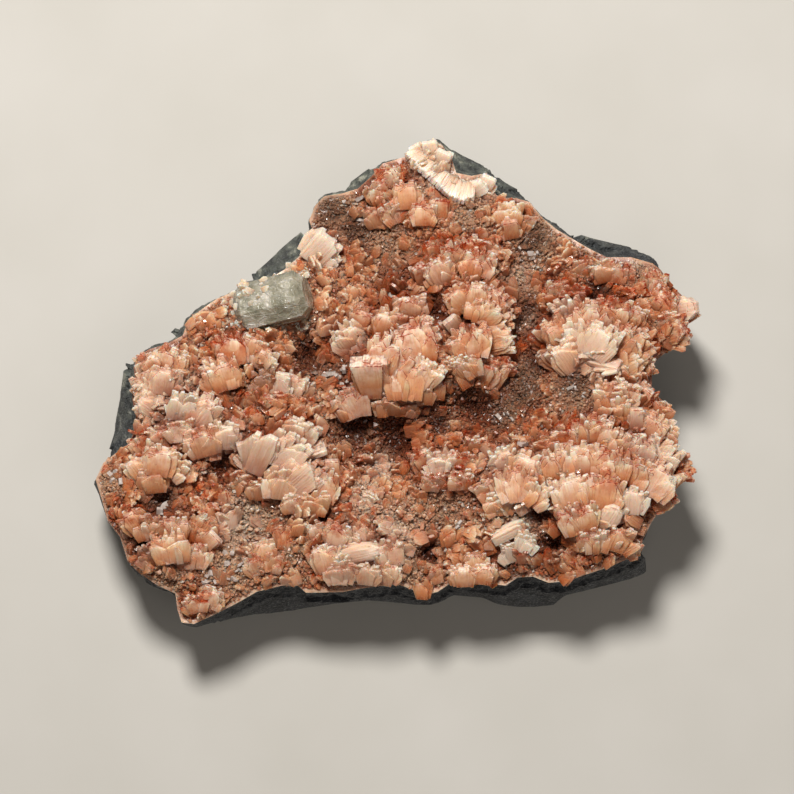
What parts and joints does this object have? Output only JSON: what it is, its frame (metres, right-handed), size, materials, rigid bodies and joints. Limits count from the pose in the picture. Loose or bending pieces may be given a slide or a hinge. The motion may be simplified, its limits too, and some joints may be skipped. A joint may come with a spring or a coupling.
{
  "type": "heulandite and stilbite crystal specimen on basalt",
  "caption": "Broken slab of dark basalt with a drusy stilbite crust and clusters of peach heulandite tablets on one side; lies flat on its back.",
  "frame": {"origin": "under the middle of the specimen, on the flat back that it rests on", "axes": "+X along the longest side, to the right as the picture shows it; +Y towards the slab's peak, up in the picture; +Z out of the crystal side"},
  "size_m": [0.1984, 0.1606, 0.0581],
  "materials": {
    "basalt": "rough fracture",
    "druse": "sparkling druse",
    "heulandite": "pearly, milky crystal",
    "white_stilbite": "pearly, silky crystal",
    "apophyllite": "glassy, translucent crystal"
  },
  "bodies": {
    "root": {"basalt_matrix": "basalt", "stilbite_crust": "druse", "heulandite_centre": "heulandite", "heulandite_arch": "heulandite", "heulandite_upper": "heulandite", "heulandite_top": "heulandite", "heulandite_shoulder": "heulandite", "heulandite_upper_right": "heulandite", "heulandite_right_tip": "heulandite", "heulandite_right": "heulandite", "heulandite_lower_spray": "heulandite", "heulandite_left_fan": "heulandite", "heulandite_left_blades": "heulandite", "heulandite_left_rim": "heulandite", "heulandite_left": "heulandite", "heulandite_lower_left": "heulandite", "heulandite_foot": "heulandite", "heulandite_front_rim": "heulandite", "heulandite_upper_rim": "heulandite", "heulandite_pink": "heulandite", "heulandite_bottom": "heulandite", "heulandite_inner_left": "heulandite", "heulandite_left_upper": "heulandite", "stilbite_sheaf": "white_stilbite", "stilbite_chip": "white_stilbite", "stilbite_blades": "white_stilbite", "apophyllite_crystal": "apophyllite"}
  },
  "joints": []
}
